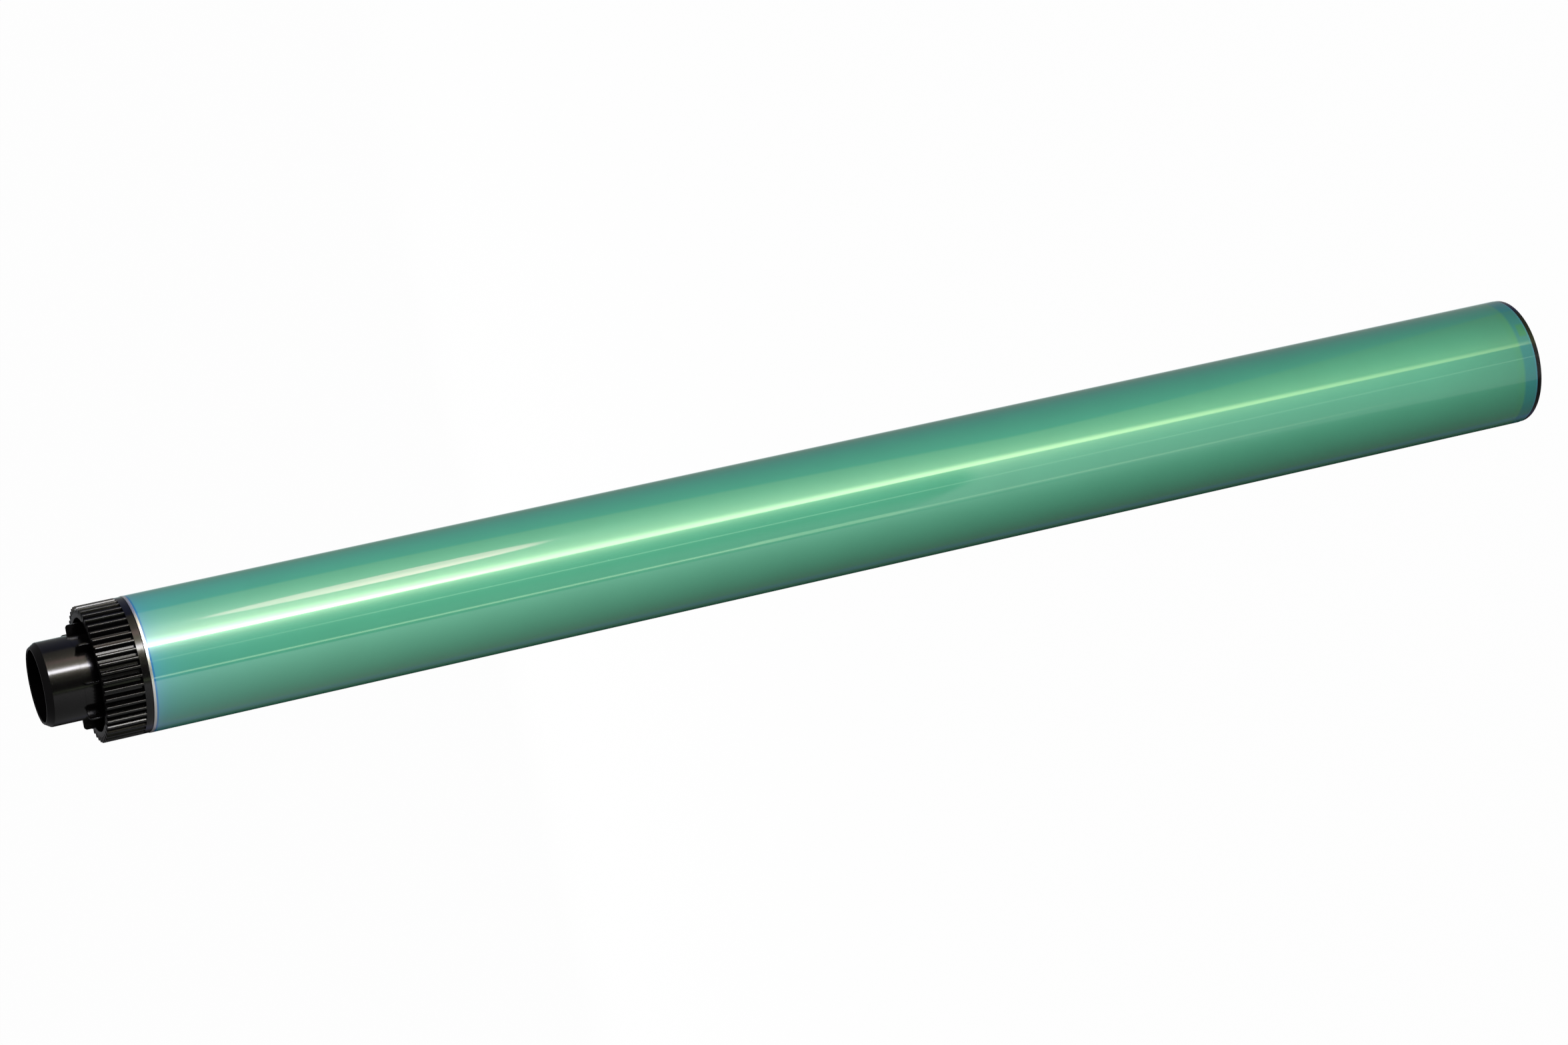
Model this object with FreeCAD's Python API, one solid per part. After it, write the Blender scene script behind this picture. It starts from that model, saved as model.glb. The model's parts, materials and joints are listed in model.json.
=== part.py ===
"""Photoconductor drum of an office copier.

A thin aluminium tube carries the coating that takes the image. A geared drive
flange is bonded into one end, a plain flange into the other, and a stamped
spring plate inside joins the tube to the shaft as the electrical ground.

The axis is Z. The drum stands on the outer face of its plain flange, with the
origin at the centre of that face and the gear at the top. A gear tooth and a
fin of the journal lie on +X. Lengths are in millimetres and angles in degrees.
"""
import FreeCAD, Part
import math
import os

os.makedirs("parts", exist_ok=True)

# Coated tube
tube_length = 342.6
tube_radius = 15.0
tube_wall = 0.75
seat_bore_step = 0.1
seat_bore_depth = 12.0
tube_edge_break = 0.15

# Bonded fit of the flanges in the tube
glue_gap = 0.05
spigot_length = 10.0
spigot_wall = 1.8
spigot_lead = 0.5
shoulder_drop = 0.1

# Shaft that runs through the drum
shaft_radius = 4.0
shaft_clearance = 0.03
shaft_lead = 0.4
hub_wall = 2.2

# Gear teeth
gear_module = 0.6
tooth_count = 48
pressure_angle = 20.0
tip_trim = 0.06
tooth_backlash = 0.04
gear_width = 8.53

# Drive flange round the gear
collar_width = 1.58
gear_ring_bore = 12.5
drive_web_above = 1.2
drive_web_below = 1.0
drive_hub_length = 9.0

# Hollow journal that turns in the machine's bearing
journal_radius = 9.22
journal_bore = 7.9
journal_run = 8.35
foot_relief = 0.2
mouth_chamfer_long = 1.4
mouth_chamfer_deep = 0.87
mouth_outer_round = 0.5
mouth_edge_break = 0.2

# Centring fins round the foot of the journal
fin_count = 8
fin_thickness = 0.5
fin_reach = 2.33
fin_stand = 2.97
fin_corner = 0.7

# Plain flange at the other end
rim_thickness = 1.2
rim_edge_break = 0.25
pocket_depth = 3.0
rim_land = 2.6
end_web = 1.8
hub_set_back = 0.3

# Stiffening ribs inside both flanges
rib_count = 6
rib_thickness = 1.2
drive_rib_set_down = 1.2
rib_angle = 30.0

# Ground plate and the stakes that hold it
plate_thickness = 0.2
plate_edge_margin = 0.75
plate_eye = 5.6
tooth_tab_count = 4
tooth_tab_width = 3.0
tooth_tab_rise = 0.9
wall_touch = 0.02
finger_count = 2
finger_width = 2.2
finger_rise = 1.4
finger_press = 0.05
finger_slot = 0.6
finger_root = 9.0
stake_count = 3
stake_circle = 9.8
stake_post = 0.55
stake_hole_gap = 0.08
stake_head = 1.1
stake_head_height = 0.4

# Places along the axis
tube_bottom = rim_thickness
tube_top = tube_bottom + tube_length
collar_top = tube_top + collar_width
gear_top = collar_top + gear_width
fin_top = gear_top + fin_stand
mouth = fin_top + journal_run

# Radii that follow from the sizes above
tube_bore = tube_radius - tube_wall
seat_bore = tube_bore + seat_bore_step
spigot_radius = seat_bore - glue_gap
spigot_bore = spigot_radius - spigot_wall
shoulder_radius = tube_radius - shoulder_drop
shaft_bore = shaft_radius + shaft_clearance
hub_radius = shaft_bore + hub_wall
fin_radius = journal_radius + fin_reach
spigot_end = tube_bottom + spigot_length

UP = FreeCAD.Vector(0, 0, 1)
ORIGIN = FreeCAD.Vector(0, 0, 0)


def profile(points):
    """Points in the XZ plane from (radius, height) pairs."""
    return [FreeCAD.Vector(radius, 0, height) for radius, height in points]


def straight_edges(points):
    """Straight edges from each point to the next."""
    return [Part.LineSegment(a, b).toShape() for a, b in zip(points, points[1:])]


def revolved(edges):
    """Solid turned from the edges of a closed outline."""
    return Part.Face(Part.Wire(edges)).revolve(ORIGIN, UP, 360)


def disc(radius, bottom, top):
    """Plain cylinder on the axis between two heights."""
    return Part.makeCylinder(radius, top - bottom, FreeCAD.Vector(0, 0, bottom))


def ring(outer, inner, bottom, top):
    """Flat ring on the axis between two heights."""
    return disc(outer, bottom, top).cut(disc(inner, bottom, top))


def turned(shape, angle):
    """Copy of a shape turned about the axis."""
    copy = shape.copy()
    copy.rotate(ORIGIN, UP, angle)
    return copy


def pattern(shape, count, start=0.0):
    """Equally spaced copies of a shape round the axis."""
    return [turned(shape, start + 360.0 * k / count) for k in range(count)]


def block(length, width, bottom, top, start):
    """Bar that points along +X from a starting radius, centred on the X axis."""
    corner = FreeCAD.Vector(start, -width / 2, bottom)
    return Part.makeBox(length, width, top - bottom, corner)


def circle_edges(shape, radius, height):
    """Edges of a shape that are circles of a radius at a height on the axis."""
    found = []
    for edge in shape.Edges:
        curve = edge.Curve
        if not isinstance(curve, Part.Circle):
            continue
        on_axis = math.hypot(curve.Center.x, curve.Center.y) < 1e-6
        right_size = abs(curve.Radius - radius) < 1e-4
        right_height = abs(curve.Center.z - height) < 1e-4
        if on_axis and right_size and right_height:
            found.append(edge)
    return found


def drum_tube():
    """Drawn tube, bored a little wider at both ends to seat the flanges."""
    tube = ring(tube_radius, tube_bore, tube_bottom, tube_top)
    seat_low = disc(seat_bore, tube_bottom, tube_bottom + seat_bore_depth)
    seat_high = disc(seat_bore, tube_top - seat_bore_depth, tube_top)
    tube = tube.cut(seat_low).cut(seat_high)
    rims = circle_edges(tube, tube_radius, tube_bottom)
    rims += circle_edges(tube, tube_radius, tube_top)
    return tube.makeChamfer(tube_edge_break, rims)


def polar(radius, angle):
    """Point in the plane of the gear's lower face."""
    return FreeCAD.Vector(radius * math.cos(angle), radius * math.sin(angle), collar_top)


def involute(angle):
    """Involute function of a pressure angle in radians."""
    return math.tan(angle) - angle


def gear_outline():
    """Closed wire round all the teeth; each flank is an arc through three
    points of the involute."""
    pitch_radius = gear_module * tooth_count / 2
    tip_radius = pitch_radius + gear_module - tip_trim
    root_radius = pitch_radius - 1.25 * gear_module
    slope = math.radians(pressure_angle)
    base_radius = pitch_radius * math.cos(slope)
    thickness = math.pi * gear_module / 2 - tooth_backlash
    half_at_pitch = thickness / 2 / pitch_radius

    def half_angle(radius):
        local = math.acos(min(1.0, base_radius / radius))
        return half_at_pitch + involute(slope) - involute(local)

    radii = [root_radius, (root_radius + tip_radius) / 2, tip_radius]
    pitch_angle = 2 * math.pi / tooth_count
    edges = []
    for tooth in range(tooth_count):
        middle = tooth * pitch_angle
        rising = [polar(r, middle - half_angle(r)) for r in radii]
        falling = [polar(r, middle + half_angle(r)) for r in reversed(radii)]
        next_foot = polar(root_radius, middle + pitch_angle - half_angle(root_radius))
        edges.append(Part.Arc(*rising).toShape())
        edges.append(Part.Arc(rising[-1], polar(tip_radius, middle), falling[0]).toShape())
        edges.append(Part.Arc(*falling).toShape())
        valley = polar(root_radius, middle + pitch_angle / 2)
        edges.append(Part.Arc(falling[-1], valley, next_foot).toShape())
    return Part.Wire(edges)


def gear_ring():
    """Straight-cut gear teeth on a ring that stands round the journal."""
    blank = Part.Face(gear_outline()).extrude(FreeCAD.Vector(0, 0, gear_width))
    return blank.cut(disc(gear_ring_bore, collar_top, gear_top))


def journal():
    """Hollow journal, eased under the fins, with a chamfered mouth whose outer
    corner is rounded."""
    slope = math.atan2(mouth_chamfer_deep, mouth_chamfer_long)
    bend_foot = mouth - mouth_chamfer_long - mouth_outer_round * math.tan(slope / 2)
    bend_centre = journal_radius - mouth_outer_round
    bend = profile(
        (bend_centre + mouth_outer_round * math.cos(a),
         bend_foot + mouth_outer_round * math.sin(a))
        for a in (0, slope / 2, slope)
    )
    eased = journal_radius - foot_relief
    corners = profile([
        (journal_radius - mouth_chamfer_deep, mouth),
        (journal_bore, mouth),
        (journal_bore, tube_top),
        (eased, tube_top),
        (eased, fin_top),
        (journal_radius, fin_top),
    ])
    outline = straight_edges([bend[2]] + corners + [bend[0]])
    shell = revolved(outline + [Part.Arc(*bend).toShape()])
    return shell.makeChamfer(mouth_edge_break, circle_edges(shell, journal_bore, mouth))


def centring_fin():
    """One thin fin on the foot of the journal, with its outer corner rounded."""
    inner = (journal_radius + journal_bore) / 2
    outer = fin_radius
    half = fin_thickness / 2
    foot = tube_top
    a = FreeCAD.Vector(inner, -half, foot)
    b = FreeCAD.Vector(outer, -half, foot)
    c = FreeCAD.Vector(outer, -half, fin_top - fin_corner)
    d = FreeCAD.Vector(outer - fin_corner, -half, fin_top)
    e = FreeCAD.Vector(inner, -half, fin_top)
    bulge = fin_corner * (1 - math.sqrt(0.5))
    middle = FreeCAD.Vector(outer - bulge, -half, fin_top - bulge)
    edges = straight_edges([d, e, a, b, c]) + [Part.Arc(c, middle, d).toShape()]
    return Part.Face(Part.Wire(edges)).extrude(FreeCAD.Vector(0, fin_thickness, 0))


def spigot(bottom, top, lead_at):
    """Ring that is bonded into the tube, with a lead-in at its free end."""
    body = ring(spigot_radius, spigot_bore, bottom, top)
    return body.makeChamfer(spigot_lead, circle_edges(body, spigot_radius, lead_at))


def shaft_hole(shape, bottom, top):
    """Bore for the shaft, chamfered at both ends."""
    lead = shaft_bore + shaft_lead
    corners = profile([
        (0, bottom),
        (lead, bottom),
        (shaft_bore, bottom + shaft_lead),
        (shaft_bore, top - shaft_lead),
        (lead, top),
        (0, top),
    ])
    return shape.cut(revolved(straight_edges(corners + corners[:1])))


def stiffening_ribs(bottom, top):
    """Ribs that tie the shaft hub to the spigot."""
    overlap = 0.5
    reach = spigot_bore - hub_radius + 2 * overlap
    rib = block(reach, rib_thickness, bottom, top, hub_radius - overlap)
    return pattern(rib, rib_count, rib_angle)


def drive_flange():
    """Gear, collar, hollow journal and spigot, moulded in one piece."""
    web_top = collar_top + drive_web_above
    web_bottom = tube_top - drive_web_below
    hub_bottom = web_bottom - drive_hub_length
    free_end = tube_top - spigot_length
    solids = [
        disc(shoulder_radius, tube_top, collar_top),
        disc(gear_ring_bore, collar_top, web_top),
        gear_ring(),
        disc(spigot_radius, web_bottom, tube_top),
        spigot(free_end, web_bottom, free_end),
        disc(hub_radius, hub_bottom, web_bottom),
        journal(),
    ]
    solids += stiffening_ribs(hub_bottom + drive_rib_set_down, web_bottom)
    solids += pattern(centring_fin(), fin_count)
    body = solids[0].fuse(solids[1:])
    body = body.cut(disc(journal_bore, web_top, mouth))
    return shaft_hole(body, hub_bottom, web_top).removeSplitter()


def stake_places():
    """Angles of the stakes, each on a rib."""
    return [rib_angle + 360.0 * k / stake_count for k in range(stake_count)]


def at_stake(radius, bottom, top, angle):
    """Small cylinder on the circle of stakes."""
    place = math.radians(angle)
    x = stake_circle * math.cos(place)
    y = stake_circle * math.sin(place)
    return Part.makeCylinder(radius, top - bottom, FreeCAD.Vector(x, y, bottom))


def end_flange():
    """Plain flange with a rim, a spigot, a ribbed hub and the plate's stakes."""
    rim = disc(shoulder_radius, 0, rim_thickness)
    rim = rim.makeChamfer(rim_edge_break, circle_edges(rim, shoulder_radius, 0))
    web_bottom = pocket_depth
    web_top = web_bottom + end_web
    plate_top = spigot_end + plate_thickness
    head_top = plate_top + stake_head_height
    solids = [
        disc(spigot_radius, rim_thickness, web_top),
        spigot(web_top, spigot_end, spigot_end),
        disc(hub_radius, web_top, spigot_end),
    ]
    solids += stiffening_ribs(web_top, spigot_end)
    for angle in stake_places():
        solids.append(at_stake(stake_post, spigot_end, plate_top, angle))
        solids.append(at_stake(stake_head, plate_top, head_top, angle))
    body = rim.fuse(solids)
    pocket = ring(shoulder_radius - rim_land, hub_radius, 0, pocket_depth)
    body = body.cut(pocket).cut(disc(hub_radius, 0, hub_set_back))
    return shaft_hole(body, hub_set_back, spigot_end).removeSplitter()


def bent_strip(path, width):
    """Strip of the plate's metal that follows a bent path of (radius, height)."""
    offset = FreeCAD.Vector(0, 0, plate_thickness)
    lower = [FreeCAD.Vector(radius, -width / 2, height) for radius, height in path]
    upper = [point + offset for point in reversed(lower)]
    wire = Part.makePolygon(lower + upper + lower[:1])
    return Part.Face(wire).extrude(FreeCAD.Vector(0, width, 0))


def ground_plate():
    """Stamped spring plate: teeth outside touch the tube, fingers the shaft."""
    low = spigot_end
    edge = spigot_radius - plate_edge_margin
    overlap = 1.0
    plate = ring(edge, plate_eye, low, low + plate_thickness)
    for angle in stake_places():
        hole = stake_post + stake_hole_gap
        plate = plate.cut(at_stake(hole, low, low + plate_thickness, angle))
    slot_width = finger_width + 2 * finger_slot
    slot_length = finger_root - plate_eye + overlap
    slot = block(slot_length, slot_width, low, low + plate_thickness, plate_eye - overlap)
    plate = plate.cut(pattern(slot, finger_count))
    touch = tube_bore - wall_touch
    tab_path = [(edge - overlap, low), (edge, low), (touch, low + tooth_tab_rise)]
    tip = shaft_radius - finger_press
    finger_path = [
        (finger_root + overlap, low),
        (finger_root, low),
        (tip, low + finger_rise),
    ]
    tab = bent_strip(tab_path, tooth_tab_width)
    finger = bent_strip(finger_path, finger_width)
    strips = pattern(tab, tooth_tab_count, 180.0 / tooth_tab_count)
    strips += pattern(finger, finger_count)
    return plate.fuse(strips).removeSplitter()


nodes = {
    "drum_tube": drum_tube,
    "drive_flange": drive_flange,
    "end_flange": end_flange,
    "ground_plate": ground_plate,
}

for name, make in nodes.items():
    shape = make()
    shape.exportStep("parts/" + name + ".step")
    solids = len(shape.Solids)
    print(name, solids, "solid", round(shape.Volume, 1), "mm3", shape.isValid())
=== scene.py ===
"""Pieces, finish, stage and camera of a photoconductor drum.

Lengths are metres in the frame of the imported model: +Z runs along the drum's
axis to the gear, and the plain flange stands on the floor at Z = 0.
"""
import json
import math

import bmesh
import bpy
from bpy.props import FloatProperty, FloatVectorProperty, IntProperty, PointerProperty
from mathutils import Matrix, Vector


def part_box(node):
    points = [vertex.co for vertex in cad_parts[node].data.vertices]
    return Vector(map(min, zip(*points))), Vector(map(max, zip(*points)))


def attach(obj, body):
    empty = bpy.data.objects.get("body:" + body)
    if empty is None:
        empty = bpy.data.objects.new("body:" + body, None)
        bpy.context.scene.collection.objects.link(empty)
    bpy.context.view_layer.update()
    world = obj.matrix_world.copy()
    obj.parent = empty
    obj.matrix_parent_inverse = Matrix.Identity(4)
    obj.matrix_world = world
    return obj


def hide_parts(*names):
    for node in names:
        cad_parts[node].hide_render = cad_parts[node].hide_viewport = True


bl_info = {
    "name": "Photoconductor drum",
    "version": (1, 0, 0),
    "blender": (4, 5, 0),
    "location": "View3D > Sidebar > Drum",
    "description": "Models and finishes a copier's photoconductor drum",
    "category": "Object",
}

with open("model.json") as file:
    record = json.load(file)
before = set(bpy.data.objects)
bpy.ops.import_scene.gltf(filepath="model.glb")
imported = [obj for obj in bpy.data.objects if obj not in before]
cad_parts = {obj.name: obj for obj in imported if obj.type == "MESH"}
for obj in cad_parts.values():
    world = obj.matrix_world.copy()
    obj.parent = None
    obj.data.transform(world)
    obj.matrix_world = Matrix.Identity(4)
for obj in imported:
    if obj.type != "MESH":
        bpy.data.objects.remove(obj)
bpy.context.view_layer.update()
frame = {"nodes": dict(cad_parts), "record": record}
mounts = {mount["name"]: mount for mount in frame["record"]["mounts"]}

MM = 0.001
BODY = "root"
tube_low, tube_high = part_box("drum_tube")
_, gear_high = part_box("drive_flange")
end_low, end_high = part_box("end_flange")
journal_mount = mounts["drive_journal"]
journal_radius = journal_mount["dims"]["r_mm"] * MM
shaft_bore = mounts["end_shaft_bore"]["dims"]["r_mm"] * MM
fin_front = journal_mount["pos_m"][2] - journal_mount["dims"]["length_mm"] * MM / 2


def length(name, description, millimetres):
    """Property for a size that is given in millimetres."""
    return FloatProperty(
        name=name, description=description, default=millimetres * MM,
        min=0, precision=5, unit="LENGTH", subtype="DISTANCE",
    )


def angle(name, description, degrees):
    """Property for an angle that is given in degrees."""
    return FloatProperty(
        name=name, description=description, default=math.radians(degrees),
        unit="ROTATION", subtype="ANGLE",
    )


def power(name, description, watts):
    """Property for a lamp's power."""
    return FloatProperty(name=name, description=description, default=watts, min=0, unit="POWER")


def colour(name, description, rgb):
    """Property for a colour in linear light."""
    return FloatVectorProperty(
        name=name, description=description, default=rgb,
        min=0, max=1, size=3, subtype="COLOR",
    )


class TubeSettings(bpy.types.PropertyGroup):
    """Sizes and colours of the coated tube."""
    wall: length("Wall", "Wall of the drawn tube", 0.75)
    seat_step: length("Seat step", "How much wider the seats of the flanges are", 0.1)
    seat_depth: length("Seat depth", "Length of each seat", 12.0)
    edge_break: length("Edge break", "Chamfer on the tube's outer rims", 0.15)
    bare_ring: length("Bare ring", "Uncoated metal beside the gear", 0.62)
    undercoat_band: length("Undercoat band", "Bluish band at the plain end", 3.6)
    green: colour("Coating", "Green of the photoconductor", (0.088, 0.395, 0.238))
    edge_blue: colour("Coating edge", "Blue where the coating runs out", (0.09, 0.395, 0.33))
    line_blue: colour("Coating rim", "Blue close to its edge", (0.10, 0.36, 0.58))
    deep_blue: colour("Coating line", "Thin dark blue line at its edge", (0.02, 0.17, 0.48))
    undercoat: colour("Undercoat", "Blue-green of the undercoat", (0.045, 0.305, 0.275))
    thin_green: colour("Thin coating", "Yellower green above the band", (0.088, 0.39, 0.185))
    patch_green: colour("Patch", "Green patch in the undercoat band", (0.06, 0.335, 0.15))
    metal: colour("Aluminium", "Bare aluminium", (0.86, 0.85, 0.82))


class GearSettings(bpy.types.PropertyGroup):
    """Sizes of the geared flange, and the colour of both flanges."""
    tooth_count: IntProperty(name="Teeth", description="Teeth of the gear", default=48, min=8)
    gear_module: length("Module", "Module of the gear", 0.6)
    root_depth: length("Root depth", "Depth of the gaps below the pitch circle", 0.75)
    gear_width: length("Gear width", "Width of the teeth", 8.53)
    collar_width: length("Collar", "Plain collar against the tube", 1.58)
    tooth_round: length("Tooth round", "Rounding of the teeth's edges", 0.11)
    ring_bore: length("Ring bore", "Inside radius of the toothed ring", 12.5)
    web_above: length("Web above", "Web above the collar", 1.2)
    web_below: length("Web below", "Web below the collar", 1.0)
    foot_relief: length("Foot relief", "How much smaller the journal is between its fins", 0.2)
    journal_bore: length("Journal bore", "Inside radius of the journal", 7.9)
    mouth_long: length("Mouth chamfer", "Length of the mouth's chamfer", 1.4)
    mouth_deep: length("Mouth chamfer depth", "Depth of the mouth's chamfer", 0.87)
    mouth_round: length("Mouth round", "Rounding at the chamfer's foot", 0.5)
    lip_break: length("Lip break", "Chamfer inside the mouth", 0.2)
    fin_count: IntProperty(name="Fins", description="Fins round the journal", default=8, min=2)
    fin_thickness: length("Fin", "Thickness of a fin", 0.5)
    fin_reach: length("Fin reach", "How far a fin stands out", 2.33)
    fin_corner: length("Fin corner", "Round at a fin's corner", 0.7)
    fin_round: length("Fin round", "Rounding of a fin's edges", 0.06)
    black: colour("Black", "Black moulded plastic", (0.0015, 0.0013, 0.0014))


class SpigotSettings(bpy.types.PropertyGroup):
    """Sizes that both flanges share inside the tube."""
    length: length("Spigot", "Length bonded into the tube", 10.0)
    wall: length("Spigot wall", "Wall of the spigot", 1.8)
    lead: length("Spigot lead", "Chamfer at its free end", 0.5)
    glue_gap: length("Glue gap", "Gap between spigot and seat", 0.05)
    hub_wall: length("Hub wall", "Wall round the shaft", 2.2)
    bore_lead: length("Bore lead", "Chamfer of the shaft's bore", 0.4)
    rib_count: IntProperty(name="Ribs", description="Ribs between hub and spigot", default=6)
    rib_thickness: length("Rib", "Thickness of a rib", 1.2)
    rib_set_down: length("Rib set down", "Step from the geared hub's end to its ribs", 1.2)


class EndSettings(bpy.types.PropertyGroup):
    """Sizes of the plain flange, and the colour of its ground plate."""
    rim_break: length("Rim break", "Chamfer of the rim", 0.25)
    rim_land: length("Rim land", "Width of the flat rim", 2.6)
    pocket_depth: length("Pocket", "Depth of the pocket", 3.0)
    web: length("Web", "Thickness of the web", 1.8)
    hub_set_back: length("Hub set back", "Step from rim to hub", 0.3)
    stake_count: IntProperty(name="Stakes", description="Stakes of the plate", default=3)
    stake_circle: length("Stake circle", "Radius of the stakes' circle", 9.8)
    stake_post: length("Stake post", "Radius of a stake's post", 0.55)
    stake_head: length("Stake head", "Radius of a stake's head", 1.1)
    stake_height: length("Stake head height", "Height of a stake's head", 0.4)
    stake_round: length("Stake round", "Rounding of a stake's head", 0.15)
    stake_root: length("Stake root", "How deep a stake's post stands in the flange", 0.3)
    bronze: colour("Bronze", "Spring bronze of the ground plate", (0.66, 0.42, 0.20))


class StageSettings(bpy.types.PropertyGroup):
    """Camera, lamps and floor."""
    lens: FloatProperty(
        name="Lens", description="Focal length in millimetres", default=95.094, unit="CAMERA")
    distance: length("Distance", "Camera to the point it looks at", 940.0)
    azimuth: angle("Azimuth", "Camera's turn round the drum", 9.848)
    elevation: angle("Elevation", "Camera's height above the horizon", 20.108)
    roll: angle("Roll", "Camera's turn about its own axis", -102.47)
    aim: FloatVectorProperty(
        name="Aim", description="Point that the camera looks at",
        default=(-0.00027, -0.00018, 0.19197), size=3, unit="LENGTH", subtype="TRANSLATION")
    key_power: power("Key lamp", "Large lamp on the camera's side", 0.61)
    strip_power: power("Strip lamp", "Long lamp close to the drum", 0.05)
    foot_power: power("Foot lamp", "Small lamp at the plain end", 0.002)
    upper_power: power("Upper lamp", "Lamp above the drum in the picture", 0.59)
    lower_power: power("Lower lamp", "Lamp below the drum in the picture", 0.222)
    fill_power: power("Fill lamp", "Lamp behind the drum", 4.0)
    ambient: FloatProperty(name="Ambient", description="Even light from all round", default=0.11)
    ceiling: colour("Ceiling", "What gloss shows above the horizon", (0.15, 0.15, 0.155))
    floor_grey: colour("Floor", "Colour of the floor", (0.50, 0.50, 0.50))
    floor_white: FloatProperty(
        name="Floor white", description="Share of plain white that the camera sees on the floor",
        default=0.985, min=0, max=1, subtype="FACTOR")


class DrumSettings(bpy.types.PropertyGroup):
    """All that a user would change."""
    tube: PointerProperty(type=TubeSettings)
    gear: PointerProperty(type=GearSettings)
    spigot: PointerProperty(type=SpigotSettings)
    end: PointerProperty(type=EndSettings)
    stage: PointerProperty(type=StageSettings)


# Modelling helpers

ROUND_SIDES = 256
GEAR_POINTS = 8
SMOOTH_ANGLE = math.radians(32)
MERGE = 1e-7
CHAMFER_BOW = 0.3
SHOULDER_DROP = 0.1 * MM
RIB_REACH = 0.5 * MM
FIRST_TURN = math.radians(30)


def only(piece):
    """Select one object and nothing else."""
    bpy.ops.object.select_all(action="DESELECT")
    piece.select_set(True)
    bpy.context.view_layer.objects.active = piece


def start_edit(piece):
    """Edit mode on one piece."""
    only(piece)
    bpy.ops.object.mode_set(mode="EDIT")


def end_edit():
    """Back to object mode."""
    bpy.ops.object.mode_set(mode="OBJECT")


def pick(piece, test, domain="VERT"):
    """Select, in edit mode, the points, edges or faces that pass a test."""
    bpy.ops.mesh.select_mode(type=domain)
    bpy.ops.mesh.select_all(action="DESELECT")
    mesh = bmesh.from_edit_mesh(piece.data)
    parts = {"VERT": mesh.verts, "EDGE": mesh.edges, "FACE": mesh.faces}[domain]
    for part in parts:
        part.select_set(test(part))
    mesh.select_flush_mode()
    bmesh.update_edit_mesh(piece.data)


def selected_points(piece):
    """Numbers of the selected points in edit mode."""
    mesh = bmesh.from_edit_mesh(piece.data)
    mesh.verts.index_update()
    return [point.index for point in mesh.verts if point.select]


def pick_points(piece, numbers):
    """Select points by number in edit mode."""
    wanted = set(numbers)
    pick(piece, lambda point: point.index in wanted)


def spread(factor):
    """Scale what is selected away from the axis."""
    bpy.ops.transform.resize(value=(factor, factor, 1), center_override=(0, 0, 0))


def from_axis(point):
    """Distance of a point from the drum's axis."""
    return math.hypot(point.co.x, point.co.y)


def tooth_place(point, sides):
    """Which of a tooth's eight points this is, counted from the tooth's middle."""
    turn = math.atan2(point.co.y, point.co.x) / (2 * math.pi)
    return round(turn * sides) % GEAR_POINTS


def outline(radius):
    """Radius of each of a tooth's points, also where the outline is round."""
    if isinstance(radius, dict):
        return radius
    return dict.fromkeys(range(GEAR_POINTS), radius)


def turned(name, stations, sides):
    """Closed body drawn from a circle that is extruded through its stations.

    A station is a radius and a height, or a dictionary of the radius of each of
    a tooth's points and a height, for an outline with teeth."""
    first_radius, first_height = stations[0]
    bpy.ops.object.select_all(action="DESELECT")
    bpy.ops.mesh.primitive_circle_add(
        vertices=sides, radius=first_radius, location=(0, 0, first_height))
    body = bpy.context.object
    body.name = name
    body.data.name = name
    bpy.ops.object.transform_apply(location=True)
    start_edit(body)
    bpy.ops.mesh.select_mode(type="VERT")
    bpy.ops.mesh.select_all(action="SELECT")
    radii = outline(first_radius)
    height = first_height
    for radius, next_height in stations[1:] + stations[:1]:
        wanted = outline(radius)
        bpy.ops.mesh.extrude_region_move(
            TRANSFORM_OT_translate={"value": (0, 0, next_height - height)})
        factors = {place: wanted[place] / radii[place] for place in wanted}
        if len({round(factor, 9) for factor in factors.values()}) == 1:
            spread(factors[0])
        else:
            reshape_outline(body, factors, sides)
        radii = wanted
        height = next_height
    bpy.ops.mesh.select_all(action="SELECT")
    bpy.ops.mesh.remove_doubles(threshold=MERGE)
    bpy.ops.mesh.normals_make_consistent(inside=False)
    end_edit()
    return body


def reshape_outline(body, factors, sides):
    """Scale each kind of point on the selected outline by its own factor."""
    numbers = selected_points(body)
    mesh = bmesh.from_edit_mesh(body.data)
    mesh.verts.ensure_lookup_table()
    places = {number: tooth_place(mesh.verts[number], sides) for number in numbers}
    for factor in sorted(set(factors.values())):
        group = [n for n in numbers if factors[places[n]] == factor]
        pick_points(body, group)
        spread(factor)
    pick_points(body, numbers)


def bar(name, low, high):
    """Box between two corners, with its place in its mesh."""
    size = [b - a for a, b in zip(low, high)]
    middle = [(a + b) / 2 for a, b in zip(low, high)]
    bpy.ops.object.select_all(action="DESELECT")
    bpy.ops.mesh.primitive_cube_add(size=1, location=middle, scale=size)
    piece = bpy.context.object
    piece.name = name
    bpy.ops.object.transform_apply(location=True, scale=True)
    return piece


def soften(piece, width):
    """Round the sharp edges of a piece a little."""
    only(piece)
    bevel = piece.modifiers.new("edge_round", "BEVEL")
    bevel.width = width
    bevel.segments = 2
    bevel.limit_method = "ANGLE"
    bevel.angle_limit = SMOOTH_ANGLE
    bpy.ops.object.modifier_apply(modifier=bevel.name)


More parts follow.
